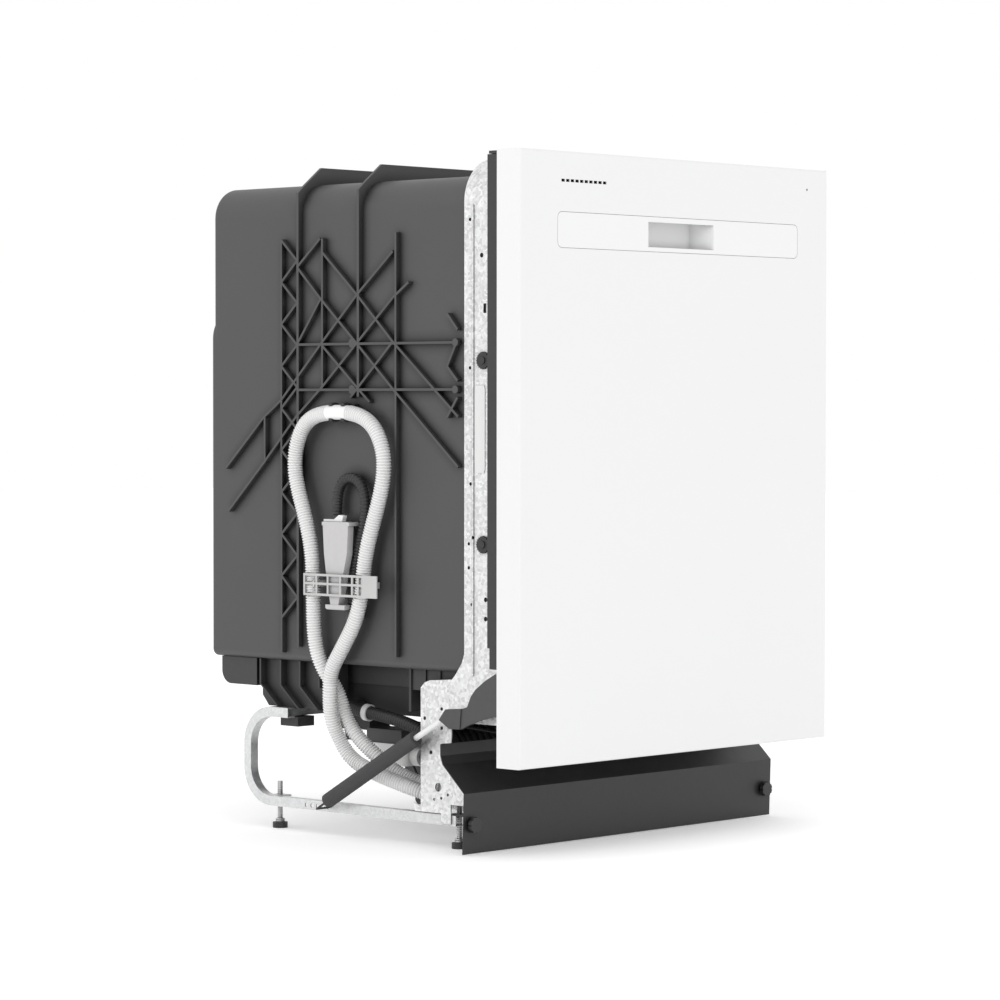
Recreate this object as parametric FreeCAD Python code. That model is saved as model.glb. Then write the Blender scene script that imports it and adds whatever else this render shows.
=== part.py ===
import FreeCAD, Part
import math
import os

# Built-in dishwasher with a top-edge control strip, standing free of its cabinet.
# Millimetres.  X runs to the right seen from the front, +Z is up, and the front faces -Y.
# Every "d" is a distance behind the face of the door.  The origin is on the floor, midway
# across the width and midway between the door's face and the back of the tub.

# ---- overall sizes ----
width = 606.0
depth = 594.0
top_z = 876.0
half_w = width / 2

# ---- general fits ----
gap = 0.3                   # between neighbouring pieces
run_fit = 0.05              # radial clearance of a turning fit
lap_gap = 0.3               # between lapped sheets

# ---- door ----
door_bottom = 114.0
sheet = 1.5                 # painted steel of the outer panel
panel_depth = 40.0
panel_edge_r = 3.0
bottom_lip = 8.0            # depth of the panel's bottom return
liner_wall = 2.5
liner_depth = 55.0          # back of the liner's flat
liner_bottom = 235.0
liner_rim_d = 58.7          # raised strip down each edge
liner_rim_w = 15.0
liner_rim_low = 261.0
liner_inset = 3.0           # liner's edge inside the panel's edge
plateau_half = 255.0
plateau_depth = 76.0
plateau_low = 245.0
plateau_high = 830.0
plateau_corner = 30.0
apron_low = 205.0
console_thick = 3.5
console_drop = 1.5          # console's top below the panel's top edge
pivot_d = 45.0
pivot_z = 195.0
pivot_r = 5.0

# ---- handle insert, vent and lamp ----
insert_w = 475.0
insert_h = 45.0
insert_mid_x = 1.5
insert_mid_z = 778.5
insert_corner = 8.0
insert_gap = 0.5
pocket_w = 129.0
pocket_low = 762.0
pocket_high = 794.0
pocket_depth = 28.0
pocket_slant = 15.0
pocket_wall = 2.5
pocket_roof = 15.0          # finger room above the opening
pocket_lip = 6.0            # back of the lip in front of that room
insert_back = 2.0
vent_x = -187.0
vent_z = 839.5
vent_count = 10
vent_pitch = 8.6
vent_slot_w = 6.4
vent_slot_h = 3.6
lamp_x = 259.0
lamp_z = 848.5
lamp_r = 1.4

# ---- tub ----
tub_half = 273.0
tub_front = 62.0
tub_low = 225.0
tub_high = 850.0
tub_wall = 3.5
tub_corner = 40.0           # round of the top corners
tub_foot_r = 9.0            # round of the lower corners
tub_rear_r = 7.0            # round of the rear edge
tub_step_z = 690.0          # below this the back stands further out
tub_step = 5.0
rib_proud = 7.5
rib_thick = 3.2
strap_d = (418.0, 306.0)    # the two moulded straps over the tub
strap_thick = 4.0
strap_turn = ((838.0, 0.0), (848.5, 12.5), (872.0, 42.5))   # height, distance in from the fin's side
well_half = 205.0
well_front = 110.0
well_back = 560.0
well_low = 195.0
ledge_in = 240.0
ledge_top = 235.5

# ---- steel arch and base ----
steel = 1.5
arch_front = 57.0
arch_back = 122.0
arch_top = 872.0
arch_corner = 57.0
arch_fit = 0.2              # arch stands this much off the lap
arch_low = 163.0
arch_flare = ((126.0, 238.0), (138.0, 221.6), (146.0, 214.0))   # rear edge low on the sides
arch_crease_d = 106.5
nut_d = 88.4
nut_z = (387.5, 617.0)
slot_place = (86.5, 682.0)
small_holes = ((112, 793), (112, 608), (111, 463), (106, 396), (114, 388), (114, 358), (109, 312))
medium_holes = ((85, 319), (85, 295), (92, 748), (92, 538))
worktop_x = 150.0           # screw holes for the worktop above
worktop_d = 84.0
worktop_hole_r = 2.75
kick_half = 303.0
kick_face = ((97.0, 1.5), (94.6, 77.7), (131.4, 111.8), (135.2, 122.6), (135.2, 137.3))
kick_thick = 1.6
knob_x = 288.0
knob_z = 38.0
knob_r = 10.0
knob_front = 88.0
knob_back = 93.6
rail_size = 13.0
rail_z = 37.5
rail_front = 140.0
rail_bend_d = 480.5
rail_bend_r = 44.0
rail_upright = 30.0         # straight run between the two bends
rail_end = 447.0
rail_hole_pitch = 10.3
rail_top_z = rail_z + 2 * rail_bend_r + rail_upright
foot_x = 250.0
foot_d = (154.0, 484.0)
foot_r = 10.0
foot_h = 7.5
foot_rod_r = 3.5
foot_rod_top = 62.0

# ---- wet parts ----
arm_x = 0.0
arm_d = 310.0
sump_d = 340.0
sump_r = 112.0
sump_wall = 6.0
sump_low = 150.0
housing_x = (-203.0, -60.0)   # box beside the bowl
post_r = 13.0
lower_arm_z = 230.0
lower_arm_r = 225.0
arm_thick = 14.0
upper_arm_z = 545.0
upper_arm_r = 215.0
filter_d = 392.0
filter_r = 38.0

# ---- racks ----
rack_half = 232.0
rack_front = 100.0
rack_back = 552.0
wire_r = 2.5
thin_wire_r = 2.2           # wires that cross the thick ones
end_wire_r = 1.9            # front and back walls
end_thin_r = 1.6
weld_gap = 0.05             # between the welded panels
wire_end = 0.4              # wire ends stand this much past the outermost crossing
tine_r = 1.8
lower_floor = 262.0
lower_rim = 420.0
upper_floor = 578.0
upper_rim = 690.0
wheel_r = 18.0
track_low = 600.0
track_high = 625.0
track_in = 250.0
track_out = 258.0

# ---- hoses ----
hose_r = 10.0
fill_r = 7.0
pump_r = 8.5
hose_x = -291.0

front_y = -depth / 2
arch_half = tub_half + lap_gap + arch_fit + steel


# ---------------------------------------------------------------- helpers
def pt(x, d, z):
    """Vector from a side position, a depth behind the door's face, and a height."""
    return FreeCAD.Vector(x, front_y + d, z)


def block(x0, x1, d0, d1, z0, z1):
    return Part.makeBox(x1 - x0, d1 - d0, z1 - z0, pt(x0, d0, z0))


def slab_x(outline, x0, x1):
    """Outline of (depth, height) points, extruded from x0 to x1."""
    ring = [pt(x0, d, z) for d, z in outline]
    face = Part.Face(Part.makePolygon(ring + ring[:1]))
    return face.extrude(FreeCAD.Vector(x1 - x0, 0, 0))


def slab_d(outline, d0, d1):
    """Outline of (x, height) points, extruded from depth d0 to d1."""
    ring = [pt(x, d0, z) for x, z in outline]
    face = Part.Face(Part.makePolygon(ring + ring[:1]))
    return face.extrude(FreeCAD.Vector(0, d1 - d0, 0))


def slab_z(outline, z0, z1):
    """Outline of (x, depth) points, extruded from z0 to z1."""
    ring = [pt(x, d, z0) for x, d in outline]
    face = Part.Face(Part.makePolygon(ring + ring[:1]))
    return face.extrude(FreeCAD.Vector(0, 0, z1 - z0))


def rod(start, end, radius):
    a = pt(*start)
    b = pt(*end)
    return Part.makeCylinder(radius, (b - a).Length, a, b - a)


def disc_x(x0, x1, d, z, radius):
    return rod((x0, d, z), (x1, d, z), radius)


def disc_z(x, d, z0, z1, radius):
    return rod((x, d, z0), (x, d, z1), radius)


def disc_d(x, d0, d1, z, radius):
    return rod((x, d0, z), (x, d1, z), radius)


def join(shapes):
    shapes = list(shapes)
    if len(shapes) == 1:
        return shapes[0]
    return shapes[0].multiFuse(shapes[1:]).removeSplitter()


def mirrored(shape):
    return shape.mirror(FreeCAD.Vector(0, 0, 0), FreeCAD.Vector(1, 0, 0))


def pair(shape):
    """A left-hand piece and its right-hand twin, as two solids."""
    return Part.makeCompound([shape, mirrored(shape)])


def rounded_outline(half, low, high, radius, d, mid=0.0):
    """Closed wire in the plane of depth d: a rectangle with four round corners."""
    corners = ((mid + half - radius, high - radius, 0), (mid - half + radius, high - radius, 90),
               (mid - half + radius, low + radius, 180), (mid + half - radius, low + radius, 270))
    arcs = []
    for x, z, start in corners:
        on_arc = []
        for turn in (0, 45, 90):
            angle = math.radians(start + turn)
            on_arc.append(pt(x + radius * math.cos(angle), d, z + radius * math.sin(angle)))
        arcs.append(Part.Arc(*on_arc))
    edges = []
    for i, arc in enumerate(arcs):
        edges.append(arc.toShape())
        edges.append(Part.LineSegment(arc.EndPoint, arcs[(i + 1) % 4].StartPoint).toShape())
    return Part.Wire(edges)


def rounded_slab(half, low, high, radius, d0, d1, mid=0.0):
    face = Part.Face(rounded_outline(half, low, high, radius, d0, mid))
    return face.extrude(FreeCAD.Vector(0, d1 - d0, 0))


def soften(shape, radius, wanted):
    """Round the edges that the test picks out."""
    return shape.makeFillet(radius, [edge for edge in shape.Edges if wanted(edge)])


def tube_along(points, radius, name):
    """Round tube on straight runs that tangent arcs join; prints its bends and its length."""
    spots = [pt(*p) for p in points]
    edges = []
    last = spots[0]
    radii = []
    for before, corner, after in zip(spots, spots[1:], spots[2:]):
        run_in = before - corner
        run_out = after - corner
        turn = math.pi - run_in.getAngle(run_out)
        reach = 0.45 * min(run_in.Length, run_out.Length)
        bend = reach / math.tan(turn / 2)
        to_in = FreeCAD.Vector(run_in).normalize()
        to_out = FreeCAD.Vector(run_out).normalize()
        start = corner + to_in * reach
        end = corner + to_out * reach
        bisector = (to_in + to_out).normalize()
        middle = corner + bisector * (bend / math.cos(turn / 2) - bend)
        edges.append(Part.LineSegment(last, start).toShape())
        edges.append(Part.Arc(start, middle, end).toShape())
        last = end
        radii.append(bend)
    edges.append(Part.LineSegment(last, spots[-1]).toShape())
    path = Part.Wire(edges)
    circle = Part.Circle(spots[0], spots[1] - spots[0], radius).toShape()
    shape = path.makePipeShell([Part.Wire([circle])], True, False)
    ratio = shape.Volume / (math.pi * radius ** 2 * path.Length)
    print(name, "length", round(path.Length), "tightest bend", round(min(radii), 1),
          "volume ratio", round(ratio, 4))
    return shape


def save(node, shape):
    for solid in shape.Solids:
        if not solid.isValid():
            print("INVALID solid in", node)
    shape.exportStep(os.path.join("parts", node + ".step"))
    box = shape.BoundBox
    print(node, len(shape.Solids), "solid(s)", round(shape.Volume / 1000), "cm3",
          [round(v, 1) for v in (box.XMin, box.YMin, box.ZMin, box.XMax, box.YMax, box.ZMax)])


# ---------------------------------------------------------------- tub
def tub_form(inset):
    """The tub's form, shrunk by inset all round but open-ended at the front."""
    forms = []
    for back, high in ((depth - tub_step, tub_high), (depth, tub_step_z)):
        body = block(-tub_half + inset, tub_half - inset, tub_front, back - inset,
                     tub_low + inset, high - inset)
        middle_z = (tub_low + high) / 2
        long_edges = [edge for edge in body.Edges
                      if abs(edge.tangentAt(edge.FirstParameter).y) > 0.9]
        upper = [edge for edge in long_edges if edge.CenterOfMass.z > middle_z]
        body = body.makeFillet(tub_corner - inset, upper)
        body = soften(body, tub_foot_r - inset, lambda e: abs(e.CenterOfMass.z - tub_low - inset)
                      < 0.1 and abs(e.tangentAt(e.FirstParameter).y) > 0.9)
        back_y = front_y + back - inset
        body = soften(body, tub_rear_r - inset, lambda e: abs(e.CenterOfMass.y - back_y) < 0.1)
        forms.append(body)
    return join(forms)


def strap(d, side_low):
    """Fin that runs over the tub's top, turns the corner on a slant and goes down both sides."""
    out = tub_half + rib_proud
    left = [(-out, side_low)] + [(-out + inward, z) for z, inward in strap_turn]
    outline = left + [(-x, z) for x, z in reversed(left)]
    return slab_d(outline, d - strap_thick / 2, d + strap_thick / 2)


def side_rib(start, end):
    """Thin upright plate on the tub's left side between two (depth, height) points."""
    (d0, z0), (d1, z1) = start, end
    length = math.hypot(d1 - d0, z1 - z0)
    nd = -(z1 - z0) / length * rib_thick / 2
    nz = (d1 - d0) / length * rib_thick / 2
    outline = ((d0 + nd, z0 + nz), (d1 + nd, z1 + nz), (d1 - nd, z1 - nz), (d0 - nd, z0 - nz))
    return slab_x(outline, -tub_half - rib_proud, -tub_half + tub_wall / 2)


def rib_paths():
    """Centre lines of the lattice on the tub's side, as (depth, height) points."""
    rows = [[(449, 777), (449, 236)], [(372, 777), (372, 585)], [(238, 781), (238, 240)],
            [(481, 545), (481, 485)], [(418, 640), (131, 640)], [(418, 581), (131, 581)]]
    zigzag_top = 777
    zigzag_pitch = 55
    for step in range(9):
        z = zigzag_top - step * zigzag_pitch
        rows.append([(449, z), (419, z - zigzag_pitch / 2), (449, z - zigzag_pitch)])
    rows += [[(376, 777), (419, 741), (375, 699), (309, 641), (243, 582), (128, 484)],
             [(373, 760), (308, 703), (243, 642), (128, 547)],
             [(373, 639), (309, 585), (285, 565)],
             [(243, 757), (308, 703), (375, 640), (449, 568), (483, 545), (557, 477)],
             [(215, 717), (243, 698), (307, 642), (373, 584), (421, 546), (483, 485), (552, 420)],
             [(375, 699), (417, 643)], [(243, 642), (308, 582), (320, 571)],
             [(147, 676), (129, 656)], [(129, 643), (147, 610), (129, 592)],
             [(129, 571), (147, 546)]]
    return rows


def left_ribs():
    plates = []
    for row in rib_paths():
        plates += [side_rib(a, b) for a, b in zip(row, row[1:])]
    bosses = [disc_x(-tub_half - rib_proud, -tub_half + 1, d, z, r)
              for d, z, r in ((317, 641, 6), (317, 581, 6), (133, 640, 5), (133, 581, 5))]
    return join(plates + bosses)


def fill_elbow():
    """Moulded port low on the left side, where the inlet hose drops in."""
    upright = disc_z(-281, 316, 286, 302, 8.5)
    upright = upright.cut(disc_z(-281, 316, 296, 303, fill_r - 1))
    return upright.fuse(block(-281, -tub_half + 1, 310, 322, 287, 300)).removeSplitter()


def back_ribs():
    """Upright stiffeners on the back wall, no deeper than the step."""
    back = depth
    return [block(x - 2, x + 2, back - tub_step - 2, back - 0.2, 700, 812)
            for x in (-180, -90, 0, 90, 180)]


def make_tub():
    ribs = left_ribs()
    outside = join([tub_form(0), ribs, mirrored(ribs), strap(strap_d[0], tub_low + 20),
                    strap(strap_d[1], 572), fill_elbow()] + back_ribs())
    well = block(-well_half, well_half, well_front, well_back, well_low, tub_low + 1)
    outside = outside.fuse(well)
    inside = tub_form(tub_wall)
    hollow_well = block(-well_half + tub_wall, well_half - tub_wall, well_front + tub_wall,
                        well_back - tub_wall, well_low + tub_wall, tub_low + 10)
    sump_hole = disc_z(arm_x, sump_d, well_low - 1, well_low + 10, sump_r - 12)
    shell = outside.cut(inside).cut(hollow_well).cut(sump_hole)
    ledge = block(ledge_in, tub_half - 1, tub_front, 540, tub_low + 1, ledge_top)
    ledge = ledge.common(tub_form(1))
    sill = block(-ledge_in, ledge_in, tub_front, tub_front + 8, tub_low + 1, ledge_top)
    sill = sill.common(tub_form(1))
    shell = join([shell, ledge, mirrored(ledge), sill])
    port = disc_x(-281, -tub_half + tub_wall + 1, 316, 293, 4)
    return shell.cut(port)


def make_gasket():
    """Rubber bulb round the mouth of the tub, up both sides and over the top."""
    outer = rounded_slab(tub_half - 1, 100, tub_high - 1, tub_corner, liner_depth + 0.6,
                         tub_front - 0.2)
    inner = rounded_slab(tub_half - 13, 88, tub_high - 13, tub_corner - 12, liner_depth,
                         tub_front)
    return outer.cut(inner).cut(block(-300, 300, 50, 70, 0, 240))


def make_tub_supports():
    """Moulded blocks with fins under the tub's side, and the round bulge behind them."""
    x_out, x_in = -268.0, -216.0
    high = tub_low - gap
    low = rail_top_z + rail_size / 2 + gap
    fin_thick = 3.0
    turn_z = 191.5
    reach = 34.0
    web = slab_x(((390, high), (509, high), (509, 176), (497, low), (390, low)), x_out + 10, x_in)
    fins = [block(x_out, x_in, 390, 390 + fin_thick, turn_z, high)]
    for d in (426.4, 463.0, 501.6):
        back = d + fin_thick
        fins.append(slab_x(((d, high), (back, high), (back, turn_z), (back - reach, low),
                            (d - reach, low), (d, turn_z)), x_out, x_in))
    cup = block(-250, -220, 450, 483, 136, low + 3)
    cup = cup.cut(block(-300, -200, 449, rail_end + 22, rail_top_z - 6.5, low - 0.05))
    rear = join([web, cup] + fins)
    front_web = block(x_out + 8, x_in, 152, 230, 198, high)
    front_fins = [slab_x(((d, high), (d + 4, high), (d + 4, 170), (d, 170)), x_out + 6, x_in)
                  for d in (150, 176, 202, 228)]
    front = join([front_web] + front_fins)
    bulge = block(x_out + 2, x_in, 512, 580, 188.4, high)
    bulge = soften(bulge, 18, lambda e: abs(e.CenterOfMass.z - 188.4) < 0.1
                   and e.CenterOfMass.y > front_y + 579)
    plates = []
    for piece in (rear, front, bulge):
        plates += [piece, mirrored(piece)]
    return Part.makeCompound(plates)


# ---------------------------------------------------------------- steel arch and base
def side_hole(d, z, radius):
    """Cutter that goes through every sheet on the left side."""
    return disc_x(-half_w, -half_w + 50, d, z, radius)


def make_arch():
    """Galvanised arch round the tub's mouth, with the stub that each hinge arm turns on."""
    out = arch_half
    outer = rounded_slab(out, 60, arch_top, arch_corner, arch_front, arch_back)
    inner = rounded_slab(out - steel, 60 + steel, arch_top - steel, arch_corner - steel,
                         arch_front - 1, arch_back + 1)
    band = outer.cut(inner).cut(block(-half_w, half_w, 0, 200, 0, arch_low))
    ear = block(-out, -out + steel, pivot_d - 12, arch_front + 2, pivot_z - 15, pivot_z + 20)
    stub = disc_x(-out - 20.5, -out + 0.5, pivot_d, pivot_z, pivot_r)
    bead = disc_z(-out, arch_crease_d, arch_low + 60, arch_top - arch_corner - 4, 1.8)
    flare = slab_x(((arch_back - 1, 252.5),) + arch_flare + ((146, arch_low), (arch_back - 1, arch_low)),
                   -out, -out + steel)
    left = join([ear, stub, bead, flare])
    arch = join([band, left, mirrored(left), counter_tab(-worktop_x), counter_tab(worktop_x)])
    screws = [disc_z(x, worktop_d, arch_top - 5, arch_top + 5, worktop_hole_r)
              for x in (-worktop_x, worktop_x)]
    holes = [side_hole(d, z, 2.2) for d, z in small_holes]
    holes += [side_hole(d, z, 3.0) for d, z in medium_holes]
    holes += [side_hole(nut_d, z, 5.0) for z in nut_z]
    d, z = slot_place
    holes.append(block(-half_w, -half_w + 50, d - 2.5, d + 2.5, z - 6, z + 6))
    side = Part.makeCompound(holes)
    return arch.cut(Part.makeCompound(screws)).cut(side).cut(mirrored(side))


def make_clip_nuts():
    """Dark push-on nuts with a knurled rim in the arch's larger holes."""
    lobes = 20
    nuts = []
    for z in nut_z:
        points = []
        for i in range(2 * lobes):
            radius = 11 if i % 2 == 0 else 9.6
            angle = math.pi * i / lobes
            points.append((nut_d + radius * math.cos(angle), z + radius * math.sin(angle)))
        rim = slab_x(points, -arch_half - 2.6, -arch_half - 0.2)
        nuts.append(rim.fuse(disc_x(-arch_half - 4.0, -arch_half + steel, nut_d, z, 4.6)))
    return Part.makeCompound(nuts + [mirrored(nut) for nut in nuts])


def make_base_brackets():
    """Pressed plate under each side: carries the arch, the rail's front and the kick plate."""
    x_in = -tub_half + 1.3
    x_out = x_in - steel
    outline = ((108, 216), (146, 216), (184, 213), (193, 210), (200, 203), (200, 52), (213, 56),
               (210, 45.5), (164, 45.5), (164, 33), (147, 33), (147, 58), (110, 58), (110, 33),
               (104, 33), (104, 60), (125, 76), (164, 117), (164, 134), (146, 136), (146, 162),
               (108, 162))
    plate = slab_x(outline, x_out, x_in)
    tab = block(-half_w + 6, x_in, 100, 101.5, 30, 52)
    web = block(x_out, x_in, 100, 105, 33, 52)
    plate = join([plate, tab, web])
    holes = [disc_x(-half_w, -200, d, z, r) for d, z, r in
             ((169, 78.5, 5.6), (176, 62.7, 2), (163.5, 65, 2), (152.2, 70, 2), (182, 122, 2.6),
              (193, 164.6, 2.4), (163, 178, 2.4), (163, 153.8, 2.4))]
    holes.append(disc_d(-knob_x, 90, 110, knob_z, 3.3))
    return pair(plate.cut(Part.makeCompound(holes)))


def rail_section(x, d, z):
    """C section, 13 mm square, open towards the middle of the machine."""
    h = rail_size / 2
    outline = ((x, z - h), (x + rail_size, z - h), (x + rail_size, z - h + steel),
               (x + steel, z - h + steel), (x + steel, z + h - steel),
               (x + rail_size, z + h - steel), (x + rail_size, z + h), (x, z + h))
    ring = [pt(a, d, b) for a, b in outline]
    return Part.Face(Part.makePolygon(ring + ring[:1]))


def rail_loop(x):
    """Two quarter bends with a short upright between them, then the leg that runs forward."""
    across = FreeCAD.Vector(1, 0, 0)
    centre = pt(x, rail_bend_d, rail_z + rail_bend_r)
    rise = FreeCAD.Vector(0, 0, rail_upright)
    section = rail_section(x, rail_bend_d, rail_z)
    lower = section.revolve(centre, across, 90)
    section.rotate(centre, across, 90)
    upright = section.extrude(rise)
    section.translate(rise)
    upper = section.revolve(centre + rise, across, 90)
    leg = rail_section(x, rail_end, rail_top_z).extrude(
        FreeCAD.Vector(0, rail_bend_d - rail_end, 0))
    return [lower, upright, upper, leg]


def make_base_frame():
    """Side rails, each a straight run and a loop up to the tub's back, and a cross bar."""
    x = -tub_half + 1.6
    run = rail_section(x, rail_front, rail_z).extrude(
        FreeCAD.Vector(0, rail_bend_d - rail_front, 0))
    tab_top = rail_z + rail_size / 2
    tabs = [block(x + rail_size - 1, -foot_x + foot_r, d - 11, d + 11, tab_top - 2.5, tab_top)
            for d in foot_d]
    rail = join([run] + rail_loop(x) + tabs)
    holes = [disc_z(-foot_x, d, tab_top - 5, tab_top + 5, foot_rod_r + run_fit)
             for d in foot_d]
    holes += [disc_x(x - 1, x + 3, hook_d + rail_hole_pitch * i, hook_z, 2.6) for i in range(5)]
    rail = rail.cut(Part.makeCompound(holes))
    return join([rail, mirrored(rail), cross_bar()])


def cross_bar():
    """Channel that joins the upper ends of the two rails, open towards the back."""
    z = rail_top_z
    x = tub_half - 1.6 - steel / 2
    bar = block(-x, x, rail_end + 6.5, rail_end + 20, z - 5, z + 5)
    return bar.cut(block(-x - 1, x + 1, rail_end + 8, rail_end + 21, z - 3.5, z + 3.5))


def make_kick():
    back = [(d + kick_thick, z) for d, z in reversed(kick_face)]
    plate = slab_x(list(kick_face) + back, -kick_half, kick_half)
    holes = [disc_d(x, 80, 110, knob_z, 3.3) for x in (-knob_x, knob_x)]
    return plate.cut(Part.makeCompound(holes))


def make_knob(x):
    head = disc_d(x, knob_front, knob_back, knob_z, knob_r)
    shaft = disc_d(x, knob_back - 1, 104.0, knob_z, 3)
    grips = [disc_d(x + knob_r * math.cos(a), knob_front - 1, knob_back + 1,
                    knob_z + knob_r * math.sin(a), 1.2)
             for a in [math.pi * i / 4 for i in range(8)]]
    return head.cut(Part.makeCompound(grips)).fuse(shaft)


def make_foot(x, d):
    pad = disc_z(x, d, 0, foot_h, foot_r)
    flats = disc_z(x, d, foot_h - 0.5, foot_h + 5, 6.2)
    screw = disc_z(x, d, 1, foot_rod_top, foot_rod_r)
    return join([pad, flats, screw])


def counter_tab(x):
    """Raised tab on the arch's top that screws to the underside of a worktop."""
    tab = block(x - 18, x + 18, 62, 106, arch_top - 0.2, arch_top + steel)
    return tab.fuse(block(x - 18, x + 18, 102, 106, arch_top - steel, arch_top + steel))


def make_strike():
    bar = block(-6, 6, 47, 90, 855, 860)
    post = block(-6, 6, 80, 90, 859, arch_top - steel - gap)
    return bar.fuse(post).removeSplitter()


# ---------------------------------------------------------------- springs
spring_x = -292.0
hook_d = 370.3
hook_z = 37.0
arm_end_d = 130.0
arm_end_z = 175.0
hook_wire_r = 1.4
sleeve_r = 9.7
link_r = 3.8


def spring_line(share):
    """Point on the line from the hook to the arm's end, by the share of its length."""
    return (spring_x, hook_d + (arm_end_d - hook_d) * share, hook_z + (arm_end_z - hook_z) * share)


def make_sleeve():
    tube = rod(spring_line(0.085), spring_line(0.75), sleeve_r)
    bore = rod(spring_line(0.11), spring_line(0.78), link_r + 0.5)
    hook = rod((-tub_half + 5, hook_d, hook_z), (spring_x, hook_d, hook_z), hook_wire_r)
    lead = rod((spring_x, hook_d, hook_z), spring_line(0.10), hook_wire_r)
    ball = Part.makeSphere(hook_wire_r, pt(spring_x, hook_d, hook_z))
    return join([tube.cut(bore), hook, ball, lead])


def make_link():
    shaft = rod(spring_line(0.30), spring_line(0.985), link_r)
    eye = disc_x(spring_x - 2.5, spring_x + 2.5, arm_end_d, arm_end_z, 5)
    return shaft.fuse(eye).removeSplitter()


def make_arm():
    """Lever that the door hangs on: from inside the door's edge back to the spring."""
    x_out = -half_w + sheet + gap
    x_in = x_out + 5.0
    outline = ((6, 182), (42, 177.4), (70, 171), (92, 163), (104, 157.4), (122, 157),
               (140, 167.4), (128.5, 181.3), (101, 183.5), (92, 186), (86, 199), (78, 208.5),
               (62, 220), (42, 230.6), (6, 232.5))
    lever = slab_x(outline, x_out, x_in)
    clip = slab_x(((101.5, 183.3), (128.5, 181.3), (140, 167.4), (122, 157.2), (103.7, 157.6)),
                  x_out - 1.3, x_out + 1)
    hub = disc_x(x_in - 1, -arch_half - 1.5, pivot_d, pivot_z, 12)
    bore = disc_x(-arch_half - 21.0, -arch_half, pivot_d, pivot_z, pivot_r + run_fit)
    return join([lever, clip, hub]).cut(bore)


# ---------------------------------------------------------------- door
def make_panel():
    outside = block(-half_w, half_w, 0, panel_depth, door_bottom, top_z)
    outside = soften(outside, panel_edge_r, lambda e: abs(e.CenterOfMass.y - front_y) < 0.1)
    inside = block(-half_w + sheet, half_w - sheet, sheet, panel_depth + 1,
                   door_bottom + sheet, top_z + 1)
    mouth = block(-half_w + sheet, half_w - sheet, bottom_lip, panel_depth + 1,
                  door_bottom - 1, door_bottom + 3)
    panel = outside.cut(inside).cut(mouth)
    window = rounded_slab(insert_w / 2, insert_mid_z - insert_h / 2, insert_mid_z + insert_h / 2,
                          insert_corner, -1, 4, insert_mid_x)
    slots = [block(x - vent_slot_w / 2, x + vent_slot_w / 2, -1, 4, vent_z - vent_slot_h / 2,
                   vent_z + vent_slot_h / 2) for x in vent_places()]
    slots.append(disc_d(lamp_x, -1, 4, lamp_z, lamp_r + 0.2))
    return panel.cut(window).cut(Part.makeCompound(slots))


def vent_places():
    first = vent_x - vent_pitch * (vent_count - 1) / 2
    return [first + i * vent_pitch for i in range(vent_count)]


def make_vent():
    """Dark moulding behind the vent slots, with a fin between each pair of slots."""
    length = vent_pitch * vent_count
    body = block(vent_x - length / 2, vent_x + length / 2, sheet + gap, 9, vent_z - 4, vent_z + 4)
    pockets = [block(x - vent_slot_w / 2, x + vent_slot_w / 2, sheet, 7, vent_z - 2.4, vent_z + 2.4)
               for x in vent_places()]
    return body.cut(Part.makeCompound(pockets))


def make_lamp():
    return disc_d(lamp_x, 0.3, 7, lamp_z, lamp_r)


def pocket_panels(front):
    """Flat walls of the grip's pocket, welded edge to edge behind the plate."""
    half = pocket_w / 2
    low, high = pocket_low, pocket_high + pocket_roof
    rear = pocket_depth + pocket_wall
    bottom = block(-half - pocket_wall, half + pocket_wall, front, rear, low - pocket_wall, low)
    top = block(-half - pocket_wall, half + pocket_wall, front, rear, high, high + pocket_wall)
    z0, z1 = low + weld_gap, high - weld_gap
    left = block(-half - pocket_wall, -half, front, rear, z0, z1)
    slope = pocket_slant / pocket_depth
    right = slab_z(((half - slope * front, front), (half + pocket_wall, front),
                    (half + pocket_wall, pocket_depth), (half - pocket_slant, pocket_depth)), z0, z1)
    back = block(-half + weld_gap, half + pocket_wall, pocket_depth + weld_gap, rear, z0, z1)
    lip = block(-half + weld_gap, half - slope * pocket_lip - weld_gap, front, pocket_lip,
                pocket_high, z1)
    return [bottom, top, left, right, back, lip]


def make_insert():
    """Flush plate with the recessed grip: a pocket with one slanted side and a roof behind."""
    plate = rounded_slab(insert_w / 2 - insert_gap, insert_mid_z - insert_h / 2 + insert_gap,
                         insert_mid_z + insert_h / 2 - insert_gap, insert_corner - insert_gap,
                         0, sheet, insert_mid_x)
    rear = sheet + gap + insert_back
    back = rounded_slab(insert_w / 2 + 6, insert_mid_z - insert_h / 2 - 6,
                        insert_mid_z + insert_h / 2 + 6, insert_corner + 6, sheet + gap,
                        rear, insert_mid_x)
    neck = rounded_slab(insert_w / 2 - 2, insert_mid_z - insert_h / 2 + 2,
                        insert_mid_z + insert_h / 2 - 2, insert_corner - 2, 0.5,
                        sheet + gap + 1, insert_mid_x)
    half = pocket_w / 2
    slope = pocket_slant / pocket_depth
    window = slab_z(((-half, -1), (half + slope, -1), (half - slope * (rear + 1), rear + 1),
                     (-half, rear + 1)), pocket_low, pocket_high)
    front = join([plate, neck, back]).cut(window)
    return Part.makeCompound([front] + pocket_panels(rear + weld_gap))


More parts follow.
